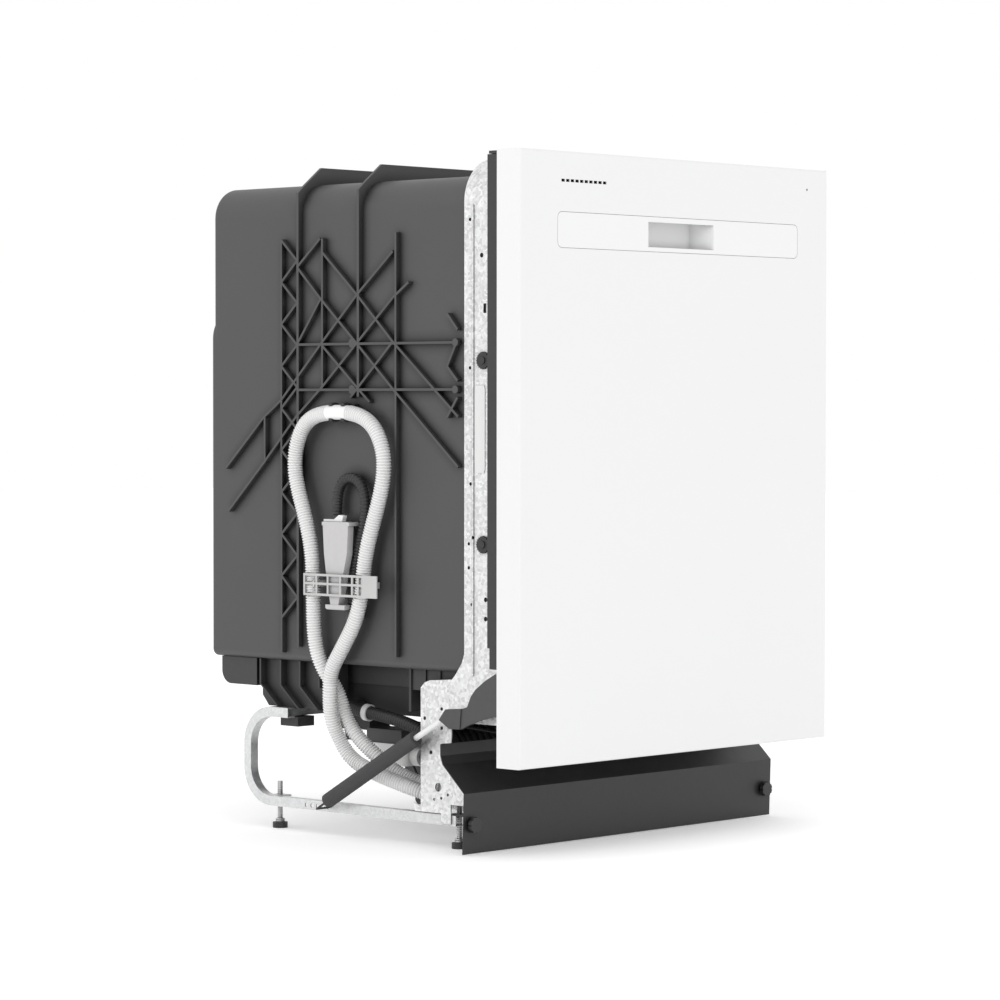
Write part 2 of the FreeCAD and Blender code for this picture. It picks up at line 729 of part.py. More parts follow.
def make_liner():
    edge = half_w - liner_inset
    high = top_z - console_drop - console_thick - 0.5
    face = block(-edge, edge, panel_depth + gap, liner_depth, liner_bottom, high)
    apron = block(-plateau_half, plateau_half, panel_depth + gap, liner_depth, apron_low,
                  liner_bottom + 5)
    raised = rounded_slab(plateau_half, plateau_low, plateau_high, plateau_corner,
                          liner_depth - 1, plateau_depth)
    raised = soften(raised, 8, lambda e: abs(e.CenterOfMass.y - front_y - plateau_depth) < 0.1)
    w = liner_wall
    rim = block(-edge, -edge + liner_rim_w, liner_depth - 1, liner_rim_d, liner_rim_low, high)
    outside = join([face, apron, raised, rim, mirrored(rim)])
    hollow = block(-edge + w, edge - w, panel_depth - 1, liner_depth - w, liner_bottom + w,
                   high - w)
    hollow_apron = block(-plateau_half + w, plateau_half - w, panel_depth - 1, liner_depth - w,
                         apron_low + w, liner_bottom + 10)
    hollow_raised = rounded_slab(plateau_half - w, plateau_low + w, plateau_high - w,
                                 plateau_corner - w, liner_depth - 5, plateau_depth - w)
    hollow_raised = soften(hollow_raised, 6, lambda e: abs(
        e.CenterOfMass.y - front_y - plateau_depth + w) < 0.1)
    liner = outside.cut(join([hollow, hollow_apron, hollow_raised]))
    dispenser = block(-80, 80, plateau_depth - 6, plateau_depth + 1, 480, 600)
    latch = block(-32, 32, panel_depth - 1, liner_depth + 1, 840, high + 1)
    return liner.cut(dispenser).cut(latch)


def make_pad():
    """Heavy damping sheet stuck inside the outer panel."""
    return block(-280, 280, sheet + gap, sheet + gap + 4, 240, 735)


button_x = (-150.0, -115.0, -80.0, -45.0)
button_d = 20.0


def make_console():
    top = top_z - console_drop
    edge = half_w - sheet - gap
    plate = block(-edge, edge, sheet + gap, liner_depth, top - console_thick, top)
    holes = [block(x - 12.4, x + 12.4, button_d - 6.4, button_d + 6.4, top - 10, top + 1)
             for x in button_x]
    holes.append(block(60, 130, 12, 28, top - 0.6, top + 1))
    return plate.cut(Part.makeCompound(holes))


def make_button(x):
    top = top_z - console_drop
    cap = block(x - 12, x + 12, button_d - 6, button_d + 6, top - console_thick - 2, top + 0.9)
    cap = soften(cap, 0.8, lambda e: abs(e.CenterOfMass.z - top - 0.9) < 0.05)
    flange = block(x - 14, x + 14, button_d - 8, button_d + 8, top - console_thick - 2.6,
                   top - console_thick - gap)
    return cap.fuse(flange).removeSplitter()


def make_latch():
    high = top_z - console_drop - console_thick - 0.8
    body = block(-30, 30, panel_depth + gap, liner_depth + 0.3, 842, high)
    return body.cut(block(-9, 9, panel_depth + 3, liner_depth + 1, 850, 866))


def make_dispenser():
    body = block(-79, 79, plateau_depth - 16, plateau_depth + 1.2, 481, 599)
    body = soften(body, 3, lambda e: abs(e.CenterOfMass.y - front_y - plateau_depth - 1.2) < 0.1)
    cup = block(-60, 20, plateau_depth - 12, plateau_depth + 2, 500, 580)
    neck = disc_d(52, plateau_depth - 8, plateau_depth + 2, 540, 10 + run_fit)
    return body.cut(cup).cut(neck)


def make_lid():
    plate = block(-62, 22, plateau_depth + 1.6, plateau_depth + 4.2, 498, 582)
    grip = block(-50, -42, plateau_depth + 4, plateau_depth + 6, 515, 565)
    return plate.fuse(grip).removeSplitter()


def make_cap():
    stem = disc_d(52, plateau_depth - 7, plateau_depth + 2.4, 540, 10)
    head = disc_d(52, plateau_depth + 1.6, plateau_depth + 4.6, 540, 17)
    grip = block(38, 66, plateau_depth + 4, plateau_depth + 7.5, 537.5, 542.5)
    return join([stem, head, grip])


# ---------------------------------------------------------------- wet parts
def make_sump():
    high = well_low - gap
    body = disc_z(arm_x, sump_d, sump_low, high, sump_r)
    body = body.fuse(block(housing_x[0], housing_x[1], 262, 448, 157, high))
    body = body.cut(disc_z(arm_x, sump_d, sump_low + sump_wall, high + 1, sump_r - 12))
    post = disc_z(arm_x, arm_d, sump_low + 2, lower_arm_z - 4, post_r + 5)
    pin = disc_z(arm_x, arm_d, sump_low + 2, lower_arm_z + arm_thick + 2, post_r)
    collar = disc_z(arm_x, filter_d, sump_low + 2, sump_low + 20, filter_r - 4)
    collar = collar.cut(disc_z(arm_x, filter_d, sump_low + sump_wall, 200, filter_r - 12))
    return join([body, post, pin, collar])


def make_filter():
    """Mesh cylinder with a top flange and a bar to turn it by; it drops over the collar."""
    low = sump_low + sump_wall + gap
    wall = disc_z(arm_x, filter_d, low, 208, filter_r)
    wall = wall.cut(disc_z(arm_x, filter_d, low - 1, 203, filter_r - 3))
    grip = block(-26, 26, filter_d - 3, filter_d + 3, 207, 218)
    return wall.fuse(grip).removeSplitter()


def make_spray_arm(radius, low, centre_d, bore_r):
    """Bar with narrowing ends, a hub and a row of jet holes; bored for its post."""
    outline = []
    for side in (1, -1):
        outline += [(side * 40, -side * 30 + centre_d), (side * radius * 0.96, -side * 12 + centre_d),
                    (side * radius * 0.98, side * 8 + centre_d), (side * 40, side * 24 + centre_d)]
    bar = slab_z(outline, low, low + arm_thick)
    hub = disc_z(0, centre_d, low, low + arm_thick, 34)
    arm = bar.fuse(hub).removeSplitter()
    jets = [disc_z(x, centre_d + (4 if x > 0 else -4), low + 8, low + arm_thick + 1, 2.2)
            for x in [side * (70 + 32 * i) for side in (1, -1) for i in range(5)]]
    return arm.cut(disc_z(0, centre_d, low - 1, low + arm_thick + 1, bore_r)).cut(
        Part.makeCompound(jets))


def make_heater():
    """Ring element standing on the well's floor, open at the back."""
    ring = Part.makeTorus(165, 3.6, pt(arm_x, sump_d, 209), FreeCAD.Vector(0, 0, 1))
    ring = ring.cut(block(-30, 30, sump_d + 100, sump_d + 200, 190, 230))
    legs = [disc_z(x, sump_d + 162.3, well_low + tub_wall + gap, 212.6, 3.6) for x in (-30, 30)]
    return join([ring] + legs)


def make_float():
    stem = disc_z(-165, 165, well_low + tub_wall + gap, 210, 5)
    dome = disc_z(-165, 165, 204, 216, 24)
    dome = soften(dome, 5, lambda e: abs(e.CenterOfMass.z - 216) < 0.1)
    return dome.fuse(stem).removeSplitter()


def make_circulation_pump():
    motor = disc_x(-110, 20, 330, 98, 38)
    volute = disc_x(-132, -106, 330, 98, 42)
    stub = disc_z(-118, 330, 130, 147, 13)
    vanes = [disc_x(-100 + 12 * i, -96 + 12 * i, 330, 98, 40.5) for i in range(9)]
    return join([motor, volute, stub] + vanes)


def make_drain_pump():
    body = block(-215, -168, 285, 352, 92, 120)
    body = soften(body, 6, lambda e: abs(e.tangentAt(e.FirstParameter).z) > 0.9)
    cap = block(-213, -172, 294, 358, 119, 138)
    ring = disc_d(-196, 271.0 + gap, 290, 104, 12)
    port = rod((-178, 292, 106), (-170, 263.5, 92.5), 8)
    return join([body, cap, ring, port])


def make_inlet_valve():
    body = block(-182, -144, 384, 447, 131, 156.5)
    coil = disc_z(-163, 434, 115, 132, 11)
    inlet = disc_z(-163, 394, 105, 132, 9)
    inlet = inlet.cut(disc_z(-163, 394, 104, 129, 6.5))
    return join([body, coil]).fuse(inlet).removeSplitter()


def make_junction_box():
    box = block(138.5, 228, 160, 225, 60, 105)
    inside = block(140.5, 226, 162, 223, 62, 103)
    knockout = disc_d(183, 220, 230, 82, 11)
    return box.cut(inside).cut(knockout)


# ---------------------------------------------------------------- hoses and what holds them
drain_points = ((-170, 259, 90), (-178, 224, 72), (-202, 212, 66), (-222, 246, 72),
                (-236, 281, 86), (-246, 302, 104), (-256, 325, 125), (-262, 347, 152),
                (-264, 358, 188), (-286, 370, 224), (hose_x, 377, 262), (hose_x, 378, 330),
                (hose_x, 380, 372), (hose_x, 392, 415), (hose_x, 406, 451), (hose_x, 413, 480),
                (hose_x, 409, 512), (hose_x, 392, 540), (hose_x, 360, 552), (hose_x, 300, 552),
                (hose_x, 266, 536), (hose_x, 249, 505), (hose_x, 248, 472), (hose_x, 257, 438),
                (hose_x, 271, 402), (hose_x, 283, 363), (hose_x, 288, 322), (hose_x, 299, 284),
                (hose_x, 324, 248), (-292, 345, 218), (-291, 347, 186), (-284, 352, 156),
                (-272, 350, 128), (-266, 334, 103), (-262, 306, 90), (-258, 272, 80),
                (-250, 236, 70), (-232, 205, 58), (-208, 188, 50), (-178, 188, 46),
                (-158, 214, 45), (-158, 262, 45))

fill_points = ((-284, 340, 419), (-284, 340, 440), (-284, 334, 460), (-284, 316, 470),
               (-284, 297, 462), (-284, 288, 441), (-283, 290, 415), (-281.5, 300, 385),
               (-281, 310, 355), (-281, 315, 328), (-281, 316, 302.3))

pump_points = ((-203.3, 378, 166), (-220, 378, 166), (-231, 360, 163), (-231, 300, 157),
               (-230, 250, 147), (-226, 225, 134), (-210, 212, 116), (-196, 232, 104),
               (-196, 271, 104))


def make_hose_end():
    """Grey rubber cuff and spigot on the end of the drain hose."""
    x, d, z = drain_points[-1]
    cuff = disc_d(x, d + gap, d + 30, z, 12)
    spigot = disc_d(x, d + 30, d + 52, z, 9)
    bore = disc_d(x, d, d + 54, z, 7.5)
    return cuff.fuse(spigot).cut(bore)


def make_top_clip():
    """Two-pronged saddle that holds the top of the drain hose's loop against the tub."""
    r_in = hose_r + gap
    r_out = r_in + 2.2
    prongs = []
    for d in (318, 340):
        ring = rod((hose_x, d - 3, 552), (hose_x, d + 3, 552), r_out)
        ring = ring.cut(rod((hose_x, d - 4, 552), (hose_x, d + 4, 552), r_in))
        prongs.append(ring.cut(block(-half_w - 5, hose_x - 6, d - 5, d + 5, 540, 564)))
    base = block(hose_x + r_in + 0.5, -tub_half - gap, 312, 346, 541, 563)
    return join(prongs + [base])


def make_lattice_clip():
    """Open grid across both legs of the loop, with two hooks between the legs."""
    x0, x1 = -half_w, -half_w + 1.7
    low, high = 315.0, 343.5
    bar_w = 3.0
    front, rear = 249.4, 383.8
    bars = [block(x0, x1, front, rear, z, z + bar_w) for z in (low, 329.2, high - bar_w)]
    bars += [block(x0, x1, d - bar_w / 2, d + bar_w / 2, low, high)
             for d in (283.4, 294.2, 315.9, 338.9, 359.8, rear - bar_w / 2)]
    plate = block(x0, x1, front, 276.9, low, high)
    hooks = [block(x0, -tub_half - gap, d, d + 2.5, 326, 334) for d in (273.5, 363.5)]
    return join(bars + [plate] + hooks)


def make_funnel():
    """Flat tapering inlet box with a top tray and a cup at its foot."""
    outline = ((351, 411), (305, 411), (305, 402), (307, 370), (314, 343), (323, 303),
               (337, 303), (345, 343), (349, 370), (351, 402))
    body = slab_x(outline, -299.5, -289.3)
    inside = slab_x([(328 + (d - 328) * 0.9, 357 + (z - 357) * 0.93) for d, z in outline],
                    -298, -290.8)
    tray = block(-299.5, -277, 303, 353, 406, 410.5)
    tray = tray.cut(disc_z(-284, 340, 400, 415, fill_r + gap))
    cup = block(-300, -290, 311, 346, 297.5, 304)
    cup = soften(cup, 3, lambda e: abs(e.CenterOfMass.z - 297.5) < 0.1)
    return join([body, tray, cup]).cut(inside)


def make_lever():
    plate = block(-297, -290, 318, 352, 411 + gap, 414)
    grip = slab_x(((318, 413.5), (334, 413.5), (324, 420), (316, 419)), -297, -290)
    return plate.fuse(grip).removeSplitter()


def make_hose_clamp():
    """Band round the straight run of the pump hose."""
    start, end = (-231, 341, 160.785), (-231, 333, 160.046)
    ring = rod(start, end, pump_r + gap + 2.2)
    return ring.cut(rod((-231, 343, 160.969), (-231, 331, 159.862), pump_r + gap))


def make_rollers():
    """Fixed rollers on each inside wall that the upper rack's tracks run between."""
    pieces = []
    for d in (120, 200):
        for z in (track_low - 8 - gap, track_high + 8 + gap):
            wheel = disc_x(-track_out, -track_in, d, z, 8)
            axle = disc_x(-tub_half + tub_wall + gap, -track_in, d, z, 4)
            pieces.append(wheel.fuse(axle).removeSplitter())
    return Part.makeCompound(pieces + [mirrored(p) for p in pieces])


def make_tracks():
    bar = block(-track_out, -track_in, 95, 560, track_low, track_high)
    groove = block(-track_in - 3, -track_in + 1, 90, 570, track_low + 6, track_high - 6)
    return pair(bar.cut(groove))


# ---------------------------------------------------------------- racks
def wire_row(start, end, count, make):
    step = (end - start) / (count - 1)
    return [make(start + i * step) for i in range(count)]


def floor_grid(floor, cross_count, long_count, extra):
    """Flat grid inside the four walls; extra holds cross wires of its own."""
    x = rack_half - wire_r - weld_gap
    d0 = rack_front + 2 * end_wire_r + weld_gap
    d1 = rack_back - 2 * end_wire_r - weld_gap
    inset = wire_r + wire_end
    wires = wire_row(d0 + inset, d1 - inset, cross_count,
                     lambda d: rod((-x, d, floor), (x, d, floor), thin_wire_r))
    wires += wire_row(-x + inset, x - inset, long_count,
                      lambda a: rod((a, d0, floor), (a, d1, floor), wire_r))
    wires += [rod((-x, d, floor), (x, d, floor), thin_wire_r) for d in extra]
    return join(wires)


def side_wall(x, floor, rim, count):
    """Flat wall of three long wires and upright ones at the side position x."""
    wires = [rod((x, rack_front, z), (x, rack_back, z), wire_r)
             for z in (floor, (floor + rim) / 2, rim)]
    inset = wire_r + wire_end
    wires += wire_row(rack_front + inset, rack_back - inset, count,
                      lambda d: rod((x, d, floor), (x, d, rim), thin_wire_r))
    return join(wires)


def end_wall(d, floor, rim, count):
    """Flat wall between the two side walls at the depth d."""
    x = rack_half - wire_r - weld_gap
    wires = [rod((-x, d, z), (x, d, z), end_wire_r) for z in (floor, (floor + rim) / 2, rim)]
    inset = end_wire_r + wire_end
    wires += wire_row(-x + inset, x - inset, count,
                      lambda a: rod((a, d, floor), (a, d, rim), end_thin_r))
    return join(wires)


def tine_row(x, floor, top, lean, start, end, count):
    """Row of leaning tines on a wire of their own that lies on the floor grid."""
    base = floor + 2 * wire_r + weld_gap
    wires = wire_row(start, end, count,
                     lambda d: rod((x, d, base), (x, d + lean, top), tine_r))
    wires.append(rod((x, start - 10, base), (x, end + 15, base), wire_r))
    return join(wires)


def rack_panels(floor, rim, extra):
    """Floor grid and four walls, each a welded panel of its own."""
    walls = [side_wall(x, floor, rim, 9) for x in (-rack_half, rack_half)]
    walls += [end_wall(d, floor, rim, 9) for d in (rack_front + end_wire_r,
                                                   rack_back - end_wire_r)]
    return [floor_grid(floor, 9, 9, extra)] + walls


def make_lower_rack():
    rows = [tine_row(x, lower_floor, 345, 12, 200, 500, 9) for x in (-150, -60, 60, 150)]
    return Part.makeCompound(rack_panels(lower_floor, lower_rim, []) + rows)


def make_lower_wheels():
    wheels = []
    for d in (185, 300, 415, 520):
        wheel = disc_x(-254, -243, d, ledge_top + 0.5 + wheel_r, wheel_r)
        wheel = wheel.cut(disc_x(-255, -251, d, ledge_top + 0.5 + wheel_r, wheel_r - 4))
        axle = disc_x(-244, -rack_half - wire_r - gap, d, ledge_top + 0.5 + wheel_r, 5)
        wheels.append(wheel.fuse(axle).removeSplitter())
    return Part.makeCompound(wheels + [mirrored(w) for w in wheels])


def make_upper_rack():
    rows = [tine_row(x, upper_floor, 640, 8, 150, 500, 9) for x in (-100, 0, 100)]
    hangers = [block(-track_in + gap, -rack_half - wire_r - weld_gap, d, d + 60, track_low + 3,
                     track_high - 3) for d in (130, 440)]
    hub = disc_z(0, arm_d, upper_arm_z - 6, upper_floor - wire_r - weld_gap, 10)
    stop = disc_z(0, arm_d, upper_arm_z - 8, upper_arm_z - 0.6, 16)
    return Part.makeCompound(rack_panels(upper_floor, upper_rim, [arm_d]) + rows + hangers
                             + [mirrored(h) for h in hangers]
                             + [hub.fuse(stop).removeSplitter()])


def make_basket():
    """Cutlery basket: open boxes side by side, with a handle across the top."""
    low, high = lower_floor + wire_r + gap + 0.5, 395.0
    outer = block(-130, 130, rack_front + 8, rack_front + 78, low, high)
    cells = []
    for i in range(5):
        x = -128 + i * 51.4
        cells.append(block(x, x + 49.4, rack_front + 10, rack_front + 76, low + 2, high + 1))
    windows = []
    for i in range(15):
        for z in (low + 18, low + 58):
            x = -121 + i * 17.2
            windows.append(block(x - 5, x + 5, rack_front, rack_front + 90, z, z + 30))
    basket = outer.cut(Part.makeCompound(cells)).cut(Part.makeCompound(windows))
    posts = [block(-4, 4, rack_front + 8, rack_front + 10, high - 5, high + 25),
             block(-4, 4, rack_front + 76, rack_front + 78, high - 5, high + 25),
             block(-4, 4, rack_front + 8, rack_front + 78, high + 20, high + 25)]
    return join([basket] + posts)


# ---------------------------------------------------------------- wiring
def make_wiring():
    """Two loose-laid looms under the tub, from the junction box to pump and valve."""
    first = ((136.5, 200, 84), (80, 215, 60), (0, 250, 44), (-80, 288, 40), (-134, 310, 44),
             (-141, 335, 70), (-140, 350, 92), (-134, 352, 100))
    second = ((136.5, 212, 96), (40, 206, 110), (-80, 215, 128), (-140, 250, 142),
              (-156, 320, 143), (-163, 383.5, 145))
    return Part.makeCompound([tube_along(first, 1.8, "loom one"),
                              tube_along(second, 1.8, "loom two")])


os.makedirs("parts", exist_ok=True)

save("tub_shell", make_tub())
save("tub_supports", make_tub_supports())
save("tub_gasket", make_gasket())
save("front_arch", make_arch())
save("clip_nuts", make_clip_nuts())
save("base_brackets", make_base_brackets())
save("base_frame", make_base_frame())
save("toe_kick", make_kick())
save("kick_knobs", Part.makeCompound([make_knob(-knob_x), make_knob(knob_x)]))
save("strike_plate", make_strike())
for side, x in (("left", -foot_x), ("right", foot_x)):
    for row, d in zip(("front", "rear"), foot_d):
        save("foot_" + row + "_" + side, make_foot(x, d))

save("spring_sleeve_left", make_sleeve())
save("spring_sleeve_right", mirrored(make_sleeve()))
save("spring_link_left", make_link())
save("spring_link_right", mirrored(make_link()))
save("hinge_arms", pair(make_arm()))

save("door_panel", make_panel())
save("door_pad", make_pad())
save("door_liner", make_liner())
save("handle_insert", make_insert())
save("vent_grille", make_vent())
save("status_lamp", make_lamp())
save("control_console", make_console())
for i, x in enumerate(button_x):
    save("button_" + str(i + 1), make_button(x))
save("door_latch", make_latch())
save("dispenser_body", make_dispenser())
save("dispenser_lid", make_lid())
save("rinse_cap", make_cap())

save("sump", make_sump())
save("filter", make_filter())
save("lower_spray_arm", make_spray_arm(lower_arm_r, lower_arm_z, arm_d, post_r + run_fit))
save("upper_spray_arm", make_spray_arm(upper_arm_r, upper_arm_z, arm_d, 10 + run_fit))
save("heating_element", make_heater())
save("float_dome", make_float())
save("circulation_pump", make_circulation_pump())
save("drain_pump", make_drain_pump())
save("inlet_valve", make_inlet_valve())
save("junction_box", make_junction_box())
save("wiring", make_wiring())

save("drain_hose", tube_along(drain_points, hose_r, "drain hose"))
save("drain_hose_end", make_hose_end())
save("hose_top_clip", make_top_clip())
save("hose_lattice_clip", make_lattice_clip())
save("inlet_funnel", make_funnel())
save("funnel_lever", make_lever())
save("fill_hose", tube_along(fill_points, fill_r, "fill hose"))
save("pump_hose", tube_along(pump_points, pump_r, "pump hose"))
save("hose_clamp", make_hose_clamp())

save("track_rollers", make_rollers())
save("upper_tracks", make_tracks())
save("lower_rack", make_lower_rack())
save("lower_wheels", make_lower_wheels())
save("upper_rack", make_upper_rack())
save("cutlery_basket", make_basket())
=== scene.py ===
import math

import bmesh
import bpy
from mathutils import Matrix, Vector


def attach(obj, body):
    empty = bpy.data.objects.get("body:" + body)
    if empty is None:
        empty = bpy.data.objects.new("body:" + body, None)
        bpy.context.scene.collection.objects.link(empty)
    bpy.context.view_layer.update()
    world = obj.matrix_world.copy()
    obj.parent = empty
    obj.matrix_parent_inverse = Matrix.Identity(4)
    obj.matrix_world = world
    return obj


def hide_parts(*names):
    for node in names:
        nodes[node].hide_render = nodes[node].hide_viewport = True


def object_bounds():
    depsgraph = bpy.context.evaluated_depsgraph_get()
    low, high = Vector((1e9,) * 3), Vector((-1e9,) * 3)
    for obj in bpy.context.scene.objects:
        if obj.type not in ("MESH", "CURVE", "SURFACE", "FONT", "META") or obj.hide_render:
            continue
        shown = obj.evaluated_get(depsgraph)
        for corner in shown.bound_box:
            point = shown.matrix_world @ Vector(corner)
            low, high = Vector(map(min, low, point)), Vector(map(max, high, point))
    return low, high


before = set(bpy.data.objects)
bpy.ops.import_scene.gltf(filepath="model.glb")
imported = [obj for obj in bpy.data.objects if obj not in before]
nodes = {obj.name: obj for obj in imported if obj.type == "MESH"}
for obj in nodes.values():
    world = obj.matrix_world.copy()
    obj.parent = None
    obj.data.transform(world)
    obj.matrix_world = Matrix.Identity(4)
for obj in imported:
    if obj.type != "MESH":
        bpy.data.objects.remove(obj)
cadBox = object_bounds()
scene = bpy.context.scene
doorFace = cadBox[0][1]  # the front face of the door, towards -Y
print("stage: frame loaded")


def at(x, d, z):
    # millimetres, with d measured back from the door's face
    return Vector((x / 1000, doorFace + d / 1000, z / 1000))


# ---- camera, light and floor ----
camera = {"place": (-3.52039, -3.27743, 0.56710), "yaw": 0.8179, "pitch": 0.0277, "roll": 0.0006,
          "lens": 129.14, "film": 36, "far": 60}
floor = {"reach": 14.0, "colour": (0.88, 0.88, 0.88), "glow": 0.30, "rough": 0.9, "specular": 0.1}
keyLight = {"place": (-3.0, -2.6, 3.0), "target": (0, 0, 0.5), "size": (2.2, 2.2), "power": 11}
rimLight = {"place": (-3.4, 1.6, 2.2), "target": (-0.2, 0, 0.5), "size": (1.6, 2.2), "power": 8}
skyStrength = 1.0


def makeCamera(spec):
    data = bpy.data.cameras.new("camera")
    data.lens = spec["lens"]
    data.sensor_width = spec["film"]
    data.clip_end = spec["far"]
    eye = bpy.data.objects.new("camera", data)
    scene.collection.objects.link(eye)
    level = math.cos(spec["pitch"])
    forward = Vector((math.sin(spec["yaw"]) * level, math.cos(spec["yaw"]) * level, -math.sin(spec["pitch"])))
    turn = forward.to_track_quat("-Z", "Y").to_matrix()
    facing = turn @ Matrix.Rotation(spec["roll"], 3, "Z")
    eye.matrix_world = Matrix.Translation(spec["place"]) @ facing.to_4x4()
    scene.camera = eye


def makeLight(name, spec):
    data = bpy.data.lights.new(name, "AREA")
    data.shape = "RECTANGLE"
    data.size, data.size_y = spec["size"]
    data.energy = spec["power"]
    lamp = bpy.data.objects.new(name, data)
    scene.collection.objects.link(lamp)
    lamp.location = spec["place"]
    aim = Vector(spec["target"]) - Vector(spec["place"])
    lamp.rotation_euler = aim.to_track_quat("-Z", "Y").to_euler()


def makeWorld(strength):
    world = bpy.data.worlds.new("studio")
    scene.world = world
    world.use_nodes = True
    world.node_tree.nodes["Background"].inputs["Color"].default_value = (1, 1, 1, 1)
    world.node_tree.nodes["Background"].inputs["Strength"].default_value = strength


def makeFloor(spec):
    reach = spec["reach"]
    mesh = bpy.data.meshes.new("floor")
    corners = [(-reach, -reach, 0), (reach, -reach, 0), (reach, reach, 0), (-reach, reach, 0)]
    mesh.from_pydata(corners, [], [(0, 1, 2, 3)])
    ground = bpy.data.objects.new("floor", mesh)
    scene.collection.objects.link(ground)
    mat = bpy.data.materials.new("floorPaper")
    mat.use_nodes = True
    skin = mat.node_tree.nodes["Principled BSDF"]
    skin.inputs["Base Color"].default_value = (*spec["colour"], 1)
    skin.inputs["Roughness"].default_value = spec["rough"]
    skin.inputs["Specular IOR Level"].default_value = spec["specular"]
    skin.inputs["Emission Color"].default_value = (1, 1, 1, 1)
    skin.inputs["Emission Strength"].default_value = spec["glow"]
    mesh.materials.append(mat)


makeCamera(camera)
makeWorld(skyStrength)
makeFloor(floor)
makeLight("keyLight", keyLight)
makeLight("rimLight", rimLight)
scene.view_settings.view_transform = "Standard"
print("stage: camera, light and floor")


# ---- shared effects, as node groups with named sockets ----
def newGroup(name, inputs, outputs):
    group = bpy.data.node_groups.new(name, "ShaderNodeTree")
    for label, kind, value in inputs:
        socket = group.interface.new_socket(name=label, in_out="INPUT", socket_type=kind)
        if value is not None:
            socket.default_value = value
    for label, kind in outputs:
        group.interface.new_socket(name=label, in_out="OUTPUT", socket_type=kind)
    return group, group.nodes.new("NodeGroupInput"), group.nodes.new("NodeGroupOutput")


floatKind, colourKind, vectorKind = "NodeSocketFloat", "NodeSocketColor", "NodeSocketVector"

# scales are in waves to a metre, distances in metres
clouds = {"detail": 4.0, "rough": 0.6, "share": 0.8}
speckle = {"scale": 900.0, "detail": 1.0, "share": 0.2}
grainShape = {"detail": 2.0, "slowScale": 7.0, "slowDetail": 1.0, "high": 0.0006}
edgeShape = {"steep": 18.0, "breakScale": 120.0, "breakDetail": 3.0}
flakeShape = {"bendScale": 60.0, "bend": 0.006, "cloudScale": 14.0, "cloudDetail": 3.0,
              "flakeShare": 0.65, "cloudShare": 0.35, "gloss": 0.30, "glossSwing": 0.28}
dustShape = {"scale": 30.0, "detail": 5.0, "rough": 0.7}
shadeSamples = 8


def math2(tree, operation, first, second, clamp=False):
    node = tree.nodes.new("ShaderNodeMath")
    node.operation = operation
    node.use_clamp = clamp
    for socket, value in zip(node.inputs, (first, second)):
        if isinstance(value, (int, float)):
            socket.default_value = value
        elif value is not None:
            tree.links.new(value, socket)
    return node.outputs[0]


def noiseOf(tree, vector, scale, detail=2.0, roughness=0.5):
    node = tree.nodes.new("ShaderNodeTexNoise")
    node.inputs["Detail"].default_value = detail
    node.inputs["Roughness"].default_value = roughness
    if isinstance(scale, (int, float)):
        node.inputs["Scale"].default_value = scale
    else:
        tree.links.new(scale, node.inputs["Scale"])
    tree.links.new(vector, node.inputs["Vector"])
    return node.outputs[0]


def makeMottle():
    # slow drift of a colour: cloudy lighter and darker patches, plus fine speckle
    sockets = [("Colour", colourKind, (0.5, 0.5, 0.5, 1)), ("Amount", floatKind, 0.1),
               ("Scale", floatKind, 6.0)]
    group, given, result = newGroup("mottle", sockets, [("Colour", colourKind), ("Mask", floatKind)])
    place = group.nodes.new("ShaderNodeTexCoord").outputs["Object"]
    cloud = noiseOf(group, place, given.outputs["Scale"], clouds["detail"], clouds["rough"])
    fine = noiseOf(group, place, speckle["scale"], speckle["detail"])
    cloudPart = math2(group, "MULTIPLY", cloud, clouds["share"])
    both = math2(group, "ADD", cloudPart, math2(group, "MULTIPLY", fine, speckle["share"]))
    swing = math2(group, "MULTIPLY", math2(group, "SUBTRACT", both, 0.5), given.outputs["Amount"])
    factor = math2(group, "ADD", math2(group, "MULTIPLY", swing, 2.0), 1.0)
    scaleColour = group.nodes.new("ShaderNodeVectorMath")
    scaleColour.operation = "SCALE"
    group.links.new(given.outputs["Colour"], scaleColour.inputs[0])
    group.links.new(factor, scaleColour.inputs["Scale"])
    group.links.new(scaleColour.outputs[0], result.inputs["Colour"])
    group.links.new(both, result.inputs["Mask"])
    return group


def makeGrain():
    # moulded or sprayed surface texture, as a bent normal
    group, given, result = newGroup("surfaceGrain", [("Scale", floatKind, 400.0), ("Depth", floatKind, 0.1),
                                                     ("Wave", floatKind, 0.0)], [("Normal", vectorKind)])
    place = group.nodes.new("ShaderNodeTexCoord").outputs["Object"]
    fine = noiseOf(group, place, given.outputs["Scale"], grainShape["detail"])
    slow = noiseOf(group, place, grainShape["slowScale"], grainShape["slowDetail"])
    height = math2(group, "ADD", fine, math2(group, "MULTIPLY", slow, given.outputs["Wave"]))
    bump = group.nodes.new("ShaderNodeBump")
    bump.inputs["Distance"].default_value = grainShape["high"]
    group.links.new(height, bump.inputs["Height"])
    group.links.new(given.outputs["Depth"], bump.inputs["Strength"])
    group.links.new(bump.outputs["Normal"], result.inputs["Normal"])
    return group


def makeEdgeWear():
    # bright mask on convex edges, broken up by noise
    sockets = [("Start", floatKind, 0.53), ("Amount", floatKind, 0.5)]
    group, given, result = newGroup("edgeWear", sockets, [("Mask", floatKind)])
    point = group.nodes.new("ShaderNodeNewGeometry").outputs["Pointiness"]
    place = group.nodes.new("ShaderNodeTexCoord").outputs["Object"]
    above = math2(group, "SUBTRACT", point, given.outputs["Start"])
    sharp = math2(group, "MULTIPLY", above, edgeShape["steep"], True)
    breaks = noiseOf(group, place, edgeShape["breakScale"], edgeShape["breakDetail"])
    broken = math2(group, "MULTIPLY", sharp, breaks)
    group.links.new(math2(group, "MULTIPLY", broken, given.outputs["Amount"], True), result.inputs["Mask"])
    return group


